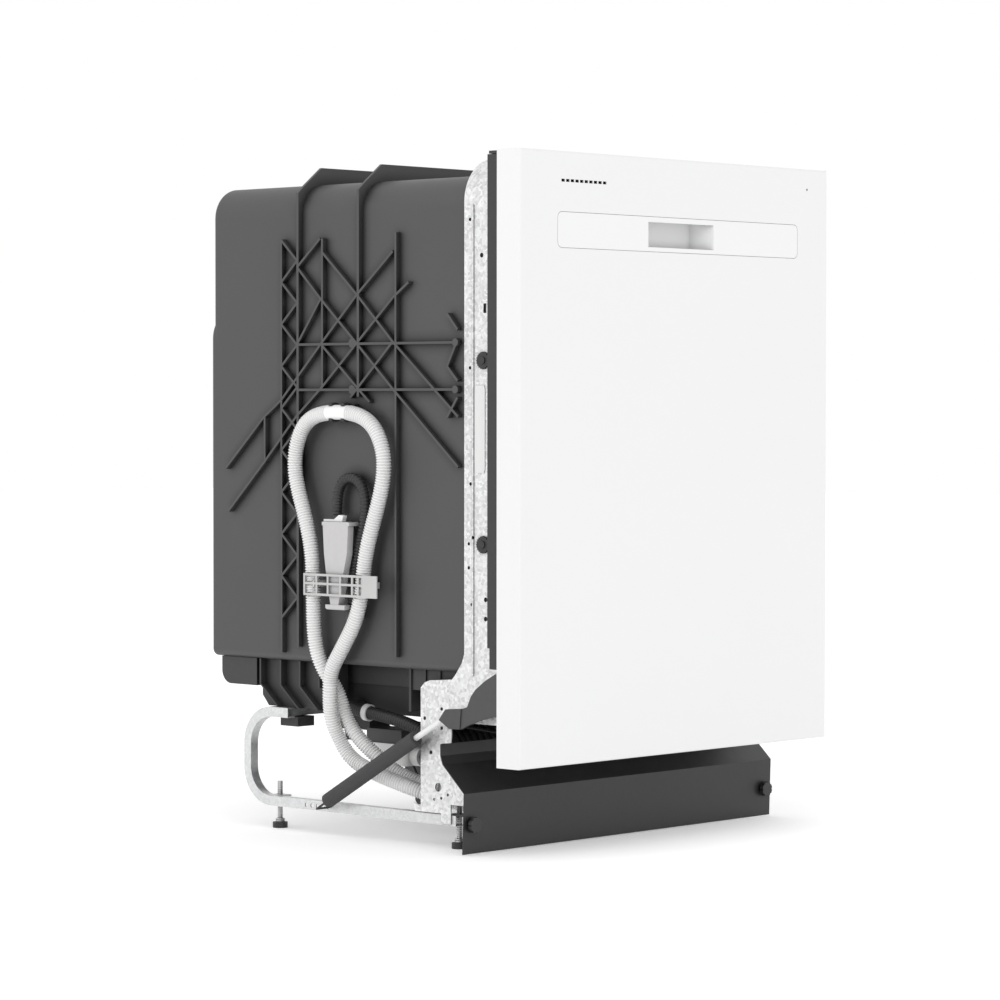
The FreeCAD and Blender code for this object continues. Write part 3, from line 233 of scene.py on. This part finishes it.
def makeSpangle():
    # zinc crystals: flat flakes that differ in brightness and gloss
    sockets = [("Scale", floatKind, 150.0), ("Contrast", floatKind, 0.25)]
    group, given, result = newGroup("zincSpangle", sockets, [("Tint", floatKind), ("Gloss", floatKind)])
    place = group.nodes.new("ShaderNodeTexCoord").outputs["Object"]
    warp = group.nodes.new("ShaderNodeVectorMath")
    warp.operation = "MULTIPLY_ADD"
    bend = group.nodes.new("ShaderNodeTexNoise")
    bend.inputs["Scale"].default_value = flakeShape["bendScale"]
    group.links.new(place, bend.inputs["Vector"])
    group.links.new(bend.outputs["Color"], warp.inputs[0])
    warp.inputs[1].default_value = (flakeShape["bend"],) * 3
    group.links.new(place, warp.inputs[2])
    cells = group.nodes.new("ShaderNodeTexVoronoi")
    group.links.new(warp.outputs[0], cells.inputs["Vector"])
    group.links.new(given.outputs["Scale"], cells.inputs["Scale"])
    flake = group.nodes.new("ShaderNodeSeparateColor")
    group.links.new(cells.outputs["Color"], flake.inputs["Color"])
    cloud = noiseOf(group, place, flakeShape["cloudScale"], flakeShape["cloudDetail"])
    flakePart = math2(group, "MULTIPLY", flake.outputs[0], flakeShape["flakeShare"])
    cloudPart = math2(group, "MULTIPLY", cloud, flakeShape["cloudShare"])
    mix = math2(group, "ADD", flakePart, cloudPart)
    swing = math2(group, "MULTIPLY", math2(group, "SUBTRACT", mix, 0.5), given.outputs["Contrast"])
    group.links.new(math2(group, "ADD", 1.0, swing), result.inputs["Tint"])
    glossPart = math2(group, "MULTIPLY", flake.outputs[1], flakeShape["glossSwing"])
    gloss = math2(group, "ADD", flakeShape["gloss"], glossPart)
    group.links.new(gloss, result.inputs["Gloss"])
    return group


def makeDust():
    # faint dust that lies on what faces up
    group, given, result = newGroup("dustFilm", [("Amount", floatKind, 0.1)], [("Mask", floatKind)])
    facing = group.nodes.new("ShaderNodeSeparateXYZ")
    group.links.new(group.nodes.new("ShaderNodeNewGeometry").outputs["Normal"], facing.inputs[0])
    place = group.nodes.new("ShaderNodeTexCoord").outputs["Object"]
    patches = noiseOf(group, place, dustShape["scale"], dustShape["detail"], dustShape["rough"])
    up = math2(group, "MULTIPLY", facing.outputs["Z"], patches, True)
    group.links.new(math2(group, "MULTIPLY", up, given.outputs["Amount"], True), result.inputs["Mask"])
    return group


def makeContactShade():
    # darker where two surfaces meet closely
    sockets = [("Reach", floatKind, 0.012), ("Depth", floatKind, 1.0)]
    group, given, result = newGroup("contactShade", sockets, [("Shade", floatKind)])
    near = group.nodes.new("ShaderNodeAmbientOcclusion")
    near.samples = shadeSamples
    group.links.new(given.outputs["Reach"], near.inputs["Distance"])
    group.links.new(math2(group, "POWER", near.outputs["AO"], given.outputs["Depth"]), result.inputs["Shade"])
    return group


mottle = makeMottle()
surfaceGrain = makeGrain()
edgeWear = makeEdgeWear()
zincSpangle = makeSpangle()
dustFilm = makeDust()
contactShade = makeContactShade()
print("stage: shared effects")


# ---- materials ----
def useGroup(tree, group, **values):
    node = tree.nodes.new("ShaderNodeGroup")
    node.node_tree = group
    for name, value in values.items():
        node.inputs[name].default_value = value
    return node


dustColour = (0.55, 0.54, 0.52)
wornGain, wornLift = 1.35, 0.02
roughSwing = 0.12
coatRough = 0.12
zincTone = {"drift": 0.06, "driftScale": 22.0, "wear": 0.25, "worn": (0.92, 0.92, 0.92), "reach": 0.02,
            "shade": 0.8, "grain": 300.0, "depth": 0.12, "wave": 0.4, "metallic": 0.85}
threadShape = {"rough": 0.35, "metallic": 0.9, "wear": 0.2, "strength": 0.8, "high": 0.0008}
wavePeriod = 0.314  # metres that one band of a wave texture takes at scale 1


def mixInto(tree, mask, base, over):
    node = tree.nodes.new("ShaderNodeMix")
    node.data_type = "RGBA"
    tree.links.new(mask, node.inputs["Factor"])
    tree.links.new(base, node.inputs[6])
    node.inputs[7].default_value = (*over, 1)
    return node.outputs[2]


def darken(tree, colour, reach, depth):
    # the colour, scaled by the contact shade
    shade = useGroup(tree, contactShade, Reach=reach, Depth=depth)
    node = tree.nodes.new("ShaderNodeVectorMath")
    node.operation = "SCALE"
    tree.links.new(colour, node.inputs[0])
    tree.links.new(shade.outputs["Shade"], node.inputs["Scale"])
    return node.outputs[0]


def plasticLike(name, colour, rough, variation=0.08, grain=450.0, depth=0.1, wave=0.0, wear=0.3,
                dust=0.06, coat=0.0, specular=0.5, metallic=0.0, shade=0.5, reach=0.012):
    mat = bpy.data.materials.new(name)
    mat.use_nodes = True
    tree = mat.node_tree
    skin = tree.nodes["Principled BSDF"]
    tone = useGroup(tree, mottle, Colour=(*colour, 1), Amount=variation)
    edge = useGroup(tree, edgeWear, Amount=wear)
    film = useGroup(tree, dustFilm, Amount=dust)
    light = tuple(min(1.0, c * wornGain + wornLift) for c in colour)
    worn = mixInto(tree, edge.outputs["Mask"], tone.outputs["Colour"], light)
    dusty = mixInto(tree, film.outputs["Mask"], worn, dustColour)
    tree.links.new(darken(tree, dusty, reach, shade), skin.inputs["Base Color"])
    swing = math2(tree, "MULTIPLY", tone.outputs["Mask"], roughSwing)
    gloss = math2(tree, "ADD", swing, rough - roughSwing / 2)
    tree.links.new(gloss, skin.inputs["Roughness"])
    relief = useGroup(tree, surfaceGrain, Scale=grain, Depth=depth, Wave=wave)
    tree.links.new(relief.outputs["Normal"], skin.inputs["Normal"])
    skin.inputs["Coat Weight"].default_value = coat
    skin.inputs["Coat Roughness"].default_value = coatRough
    skin.inputs["Specular IOR Level"].default_value = specular
    skin.inputs["Metallic"].default_value = metallic
    return mat


def zincLike(name, colour, scale, contrast):
    mat = bpy.data.materials.new(name)
    mat.use_nodes = True
    tree = mat.node_tree
    skin = tree.nodes["Principled BSDF"]
    flakes = useGroup(tree, zincSpangle, Scale=scale, Contrast=contrast)
    tone = useGroup(tree, mottle, Colour=(*colour, 1), Amount=zincTone["drift"],
                    Scale=zincTone["driftScale"])
    tinted = tree.nodes.new("ShaderNodeVectorMath")
    tinted.operation = "SCALE"
    tree.links.new(tone.outputs["Colour"], tinted.inputs[0])
    tree.links.new(flakes.outputs["Tint"], tinted.inputs["Scale"])
    edge = useGroup(tree, edgeWear, Amount=zincTone["wear"])
    worn = mixInto(tree, edge.outputs["Mask"], tinted.outputs[0], zincTone["worn"])
    shaded = darken(tree, worn, zincTone["reach"], zincTone["shade"])
    tree.links.new(shaded, skin.inputs["Base Color"])
    tree.links.new(flakes.outputs["Gloss"], skin.inputs["Roughness"])
    relief = useGroup(tree, surfaceGrain, Scale=zincTone["grain"], Depth=zincTone["depth"],
                      Wave=zincTone["wave"])
    tree.links.new(relief.outputs["Normal"], skin.inputs["Normal"])
    skin.inputs["Metallic"].default_value = zincTone["metallic"]
    return mat


def threadLike(name, colour, pitch):
    # a screw's thread as bands round an upright shaft
    mat = plasticLike(name, colour, threadShape["rough"], metallic=threadShape["metallic"],
                      wear=threadShape["wear"])
    tree = mat.node_tree
    skin = tree.nodes["Principled BSDF"]
    bands = tree.nodes.new("ShaderNodeTexWave")
    bands.bands_direction = "Z"
    bands.inputs["Scale"].default_value = wavePeriod / pitch / 2
    tree.links.new(tree.nodes.new("ShaderNodeTexCoord").outputs["Object"], bands.inputs["Vector"])
    bump = tree.nodes.new("ShaderNodeBump")
    bump.inputs["Strength"].default_value = threadShape["strength"]
    bump.inputs["Distance"].default_value = threadShape["high"]
    tree.links.new(bands.outputs["Fac"], bump.inputs["Height"])
    tree.links.new(bump.outputs["Normal"], skin.inputs["Normal"])
    return mat


looks = {
    "tub": plasticLike("tubPlastic", (0.063, 0.0625, 0.065), 0.5, variation=0.10, grain=260.0, depth=0.16,
                       wave=1.0, shade=1.6, reach=0.016),
    # darker copy of the tub plastic: painted shade for the supports, the top clip and the sump, which sit in
    # shadow
    "tubShaded": plasticLike("tubPlasticPaintedShade", (0.030, 0.030, 0.032), 0.5, variation=0.10, grain=260.0,
                           depth=0.16, wave=1.0, shade=1.0, reach=0.016),
    "zinc": zincLike("galvanisedSteel", (0.70, 0.70, 0.705), 260.0, 0.62),
    "rail": zincLike("railSteel", (0.66, 0.665, 0.67), 320.0, 0.22),
    "whitePaint": plasticLike("whiteEnamel", (0.80, 0.80, 0.802), 0.34, variation=0.008, grain=180.0,
                              depth=0.03, wave=0.2, wear=0.0, dust=0.0, coat=0.25, specular=0.35),
    "whitePlastic": plasticLike("whitePlastic", (0.815, 0.817, 0.817), 0.42, variation=0.01, grain=600.0,
                                depth=0.05, wear=0.0, dust=0.0, specular=0.4),
    "blackPlastic": plasticLike("blackPlastic", (0.022, 0.022, 0.023), 0.48, grain=500.0, depth=0.12),
    "kick": plasticLike("kickPaint", (0.0155, 0.0157, 0.0167), 0.42, grain=320.0, depth=0.10, wave=0.5,
                        wear=0.2),
    "greyDark": plasticLike("darkGreyPlastic", (0.050, 0.050, 0.052), 0.5, grain=380.0, depth=0.14, wave=0.6),
    "greyLight": plasticLike("lightGreyPlastic", (0.50, 0.49, 0.493), 0.44, variation=0.04, grain=420.0,
                             depth=0.08),
    "hoseWhite": plasticLike("hoseWhite", (0.90, 0.90, 0.895), 0.4, variation=0.04, grain=300.0, depth=0.08,
                             wear=0.15, shade=0.9, reach=0.003),
    "hoseBlack": plasticLike("hoseBlack", (0.025, 0.025, 0.026), 0.4, grain=300.0, depth=0.1),
    "rubber": plasticLike("sealRubber", (0.045, 0.045, 0.047), 0.62, grain=520.0, depth=0.15),
    "foam": plasticLike("sleeveFoam", (0.060, 0.060, 0.062), 0.82, variation=0.25, grain=900.0, depth=0.5,
                        wave=0.4, specular=0.2),
    "rackWire": plasticLike("nylonWire", (0.42, 0.44, 0.47), 0.3, variation=0.03, depth=0.05, coat=0.3),
    "pumpWhite": plasticLike("pumpWhite", (0.74, 0.74, 0.73), 0.45, grain=400.0, depth=0.08),
    "steel": plasticLike("brightSteel", (0.60, 0.60, 0.61), 0.28, variation=0.04, metallic=1.0, depth=0.06),
    "pad": plasticLike("dampingPad", (0.03, 0.03, 0.03), 0.8, depth=0.3),
    "lens": plasticLike("smokedLens", (0.10, 0.10, 0.11), 0.12, coat=1.0, depth=0.0),
    "cable": plasticLike("cableSleeve", (0.018, 0.018, 0.019), 0.5, depth=0.1),
    "label": plasticLike("labelPaper", (0.76, 0.76, 0.755), 0.5, variation=0.02, depth=0.05, wear=0.0,
                         dust=0.0),
    "clipGrey": plasticLike("clipPlastic", (0.50, 0.50, 0.495), 0.38, variation=0.05, depth=0.06, coat=0.2),
    "thread": threadLike("footThread", (0.62, 0.62, 0.63), 0.00125),
}

nodeLooks = {
    "tub": ["tub_shell"],
    # these tub parts get the darker tub plastic, as painted shade
    "tubShaded": ["tub_supports", "hose_top_clip", "sump"],
    "zinc": ["front_arch", "base_brackets", "junction_box"],
    "rail": ["base_frame"],
    "whitePaint": ["door_panel"],
    "whitePlastic": ["handle_insert", "spring_link_left", "spring_link_right", "funnel_lever",
                     "hose_clamp", "track_rollers"],
    "blackPlastic": ["clip_nuts", "kick_knobs", "door_liner", "vent_grille", "control_console",
                     "inlet_valve"],
    "kick": ["toe_kick"],
    "greyDark": ["hinge_arms", "button_1", "button_2", "button_3", "button_4", "door_latch",
                 "rinse_cap", "circulation_pump"],
    "greyLight": ["dispenser_body", "dispenser_lid", "filter", "lower_spray_arm", "upper_spray_arm",
                  "float_dome", "inlet_funnel", "lower_wheels", "cutlery_basket"],
    "clipGrey": ["hose_lattice_clip"],
    "hoseWhite": ["drain_hose"],
    "hoseBlack": ["fill_hose", "pump_hose"],
    "rubber": ["tub_gasket", "drain_hose_end"],
    "foam": ["spring_sleeve_left", "spring_sleeve_right"],
    "rackWire": ["lower_rack", "upper_rack"],
    "pumpWhite": ["drain_pump"],
    "steel": ["strike_plate", "heating_element", "upper_tracks"],
    "pad": ["door_pad"],
    "lens": ["status_lamp"],
    "cable": ["wiring"],
}


footPadTop, pumpBodyTop = 7.6, 120.5  # heights where one node changes its look
feet = ("foot_front_left", "foot_rear_left", "foot_front_right", "foot_rear_right")


def dressNodes():
    for look, names in nodeLooks.items():
        for name in names:
            for holder in nodes[name].material_slots:
                holder.material = looks[look]


def splitByHeight(name, height, lower, upper):
    # one look below the height in millimetres, another above it
    holder = nodes[name]
    holder.data.materials.clear()
    holder.data.materials.append(looks[lower])
    holder.data.materials.append(looks[upper])
    for face in holder.data.polygons:
        face.material_index = int((holder.matrix_world @ face.center).z * 1000 > height)


dressNodes()
for foot in feet:
    splitByHeight(foot, footPadTop, "blackPlastic", "thread")
splitByHeight("drain_pump", pumpBodyTop, "pumpWhite", "greyDark")
print("stage: materials")


# ---- hoses ----
drainHose = {
    "radius": 10.0, "root": 8.5, "pitch": 3.6, "plain": {"above": 545, "front": 312, "back": 348},
    "route": ((-170, 259, 90), (-178, 224, 72), (-202, 212, 66), (-222, 246, 72),
              (-236, 281, 86), (-246, 302, 104), (-256, 325, 125), (-262, 347, 152),
              (-264, 358, 188), (-286, 370, 224), (-291, 377, 262), (-291, 378, 330),
              (-291, 380, 372), (-291, 392, 415), (-291, 406, 451), (-291, 413, 480),
              (-291, 409, 512), (-291, 392, 540), (-291, 360, 552), (-291, 300, 552),
              (-291, 266, 536), (-291, 249, 505), (-291, 248, 472), (-291, 257, 438),
              (-291, 271, 402), (-291, 283, 363), (-291, 288, 322), (-291, 299, 284),
              (-291, 324, 248), (-292, 345, 218), (-291, 347, 186), (-284, 352, 156),
              (-272, 350, 128), (-266, 334, 103), (-262, 306, 90), (-258, 272, 80),
              (-250, 236, 70), (-232, 205, 58), (-208, 188, 50), (-178, 188, 46),
              (-158, 214, 45), (-158, 262, 45))}
fillHose = {
    "radius": 7.0, "root": 5.6, "pitch": 4.4,
    "route": ((-284, 340, 419), (-284, 340, 440), (-284, 334, 460), (-284, 316, 470),
              (-284, 297, 462), (-284, 288, 441), (-283, 290, 415), (-281.5, 300, 385),
              (-281, 310, 355), (-281, 315, 328), (-281, 316, 302.3))}
pumpHose = {
    "radius": 8.5, "root": 7.2, "pitch": 4.0,
    "route": ((-203.3, 378, 166), (-220, 378, 166), (-231, 360, 163), (-231, 300, 157),
              (-230, 250, 147), (-226, 225, 134), (-210, 212, 116), (-196, 232, 104),
              (-196, 271, 104))}


ringProfile = (0.0, 0.1, 0.75, 1.0, 0.75, 0.1)  # heights along one ring
hoseSides = 28
curveSteps = 24
plainInset = 0.0004


def smoothRoute(name, points):
    # the spline's own line, as evenly fine points
    curve = bpy.data.curves.new(name, "CURVE")
    curve.dimensions = "3D"
    spline = curve.splines.new("NURBS")
    spline.points.add(len(points) - 1)
    for spot, point in zip(points, spline.points):
        point.co = (*at(*spot), 1)
    spline.order_u = 3
    spline.use_endpoint_u = True
    spline.resolution_u = curveSteps
    holder = bpy.data.objects.new(name, curve)
    scene.collection.objects.link(holder)
    bpy.context.view_layer.update()
    mesh = bpy.data.meshes.new_from_object(holder)
    line = [vertex.co.copy() for vertex in mesh.vertices]
    bpy.data.objects.remove(holder)
    bpy.data.meshes.remove(mesh)
    return line


def evenSteps(line, step):
    # the same line cut into equal steps
    spots, carry = [line[0]], 0.0
    for a, b in zip(line, line[1:]):
        length = (b - a).length
        while carry + length >= step:
            a = a.lerp(b, (step - carry) / length)
            length = (b - a).length
            spots.append(a)
            carry = 0.0
        carry += length
    return spots


def corrugatedHose(name, spec, look, body):
    sides, perRing = hoseSides, len(ringProfile)
    step = spec["pitch"] / perRing / 1000
    spots = evenSteps(smoothRoute(name + "Line", spec["route"]), step)
    high, low = spec["radius"] / 1000, spec["root"] / 1000
    verts, faces = [], []
    normal = None
    for i, spot in enumerate(spots):
        ahead = (spots[min(i + 1, len(spots) - 1)] - spots[max(i - 1, 0)]).normalized()
        if normal is None:
            normal = ahead.orthogonal().normalized()
        normal = (normal - ahead * normal.dot(ahead)).normalized()
        side = ahead.cross(normal)
        radius = low + (high - low) * ringProfile[i % perRing]
        if isPlain(spot, spec.get("plain")):
            radius = high - plainInset
        for j in range(sides):
            angle = 2 * math.pi * j / sides
            verts.append(spot + (normal * math.cos(angle) + side * math.sin(angle)) * radius)
    for i in range(len(spots) - 1):
        for j in range(sides):
            k = (j + 1) % sides
            faces.append((i * sides + j, i * sides + k, (i + 1) * sides + k, (i + 1) * sides + j))
    faces.append(tuple(reversed(range(sides))))
    faces.append(tuple(range((len(spots) - 1) * sides, len(spots) * sides)))
    return addMesh(name, verts, faces, look, body)


def isPlain(spot, zone):
    # inside the stretch where the hose has no rings
    if zone is None:
        return False
    d = (spot.y - doorFace) * 1000
    return spot.z * 1000 > zone["above"] and zone["front"] < d < zone["back"]


def addMesh(name, verts, faces, look, body, smooth=True):
    mesh = bpy.data.meshes.new(name)
    mesh.from_pydata(verts, [], faces)
    mesh.validate()
    bm = bmesh.new()
    bm.from_mesh(mesh)
    bmesh.ops.recalc_face_normals(bm, faces=bm.faces)
    bm.to_mesh(mesh)
    bm.free()
    piece = bpy.data.objects.new(name, mesh)
    scene.collection.objects.link(piece)
    mesh.materials.append(looks[look])
    if smooth:
        mesh.polygons.foreach_set("use_smooth", [True] * len(mesh.polygons))
    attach(piece, body)
    return piece


for name, spec, look, node, slot in (("drainHose", drainHose, "hoseWhite", "drain_hose", "hose_white"),
                                     ("fillHose", fillHose, "hoseBlack", "fill_hose", "hose_black"),
                                     ("pumpHose", pumpHose, "hoseBlack", "pump_hose", "hose_black")):
    hose = corrugatedHose(name, spec, look, "cabinet")
    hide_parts(node)
print("stage: hoses")


# ---- blank label on the arch's left side ----
labelSheet = {"x": -275.25, "front": 86.0, "back": 103.6, "low": 477.0, "high": 586.0,
              "corner": 1.5, "cornerShare": 0.03, "thick": 0.12, "bow": 0.18, "bowPower": 6,
              "columns": 8, "rows": 24}


def makeLabel(spec):
    # round-cornered sheet that bows a little off the steel at its long edges
    columns, rows = spec["columns"], spec["rows"]
    cornerStart = 1 - spec["cornerShare"]
    verts, faces = [], []
    for side in (0, 1):
        for j in range(rows + 1):
            for i in range(columns + 1):
                across, along = i / columns, j / rows
                nearEnd = max(0.0, abs(2 * along - 1) - cornerStart) / spec["cornerShare"]
                inset = spec["corner"] * nearEnd ** 2
                d = spec["front"] + inset + (spec["back"] - spec["front"] - 2 * inset) * across
                lift = spec["bow"] * abs(2 * across - 1) ** spec["bowPower"]
                z = spec["low"] + (spec["high"] - spec["low"]) * along
                verts.append(at(spec["x"] - lift - side * spec["thick"], d, z))
    layer = (rows + 1) * (columns + 1)
    for j in range(rows):
        for i in range(columns):
            a = j * (columns + 1) + i
            quad = (a, a + 1, a + columns + 2, a + columns + 1)
            faces += [quad, tuple(layer + v for v in reversed(quad))]
    stride = columns + 1
    rim = list(range(stride)) + [(j + 1) * stride - 1 for j in range(1, rows + 1)]
    rim += [rows * stride + i for i in range(columns - 1, -1, -1)]
    rim += [j * stride for j in range(rows - 1, 0, -1)]
    for a, b in zip(rim, rim[1:] + rim[:1]):
        faces.append((a, b, layer + b, layer + a))
    addMesh("archLabel", verts, faces, "label", "cabinet", smooth=False)


makeLabel(labelSheet)
print("stage: label")
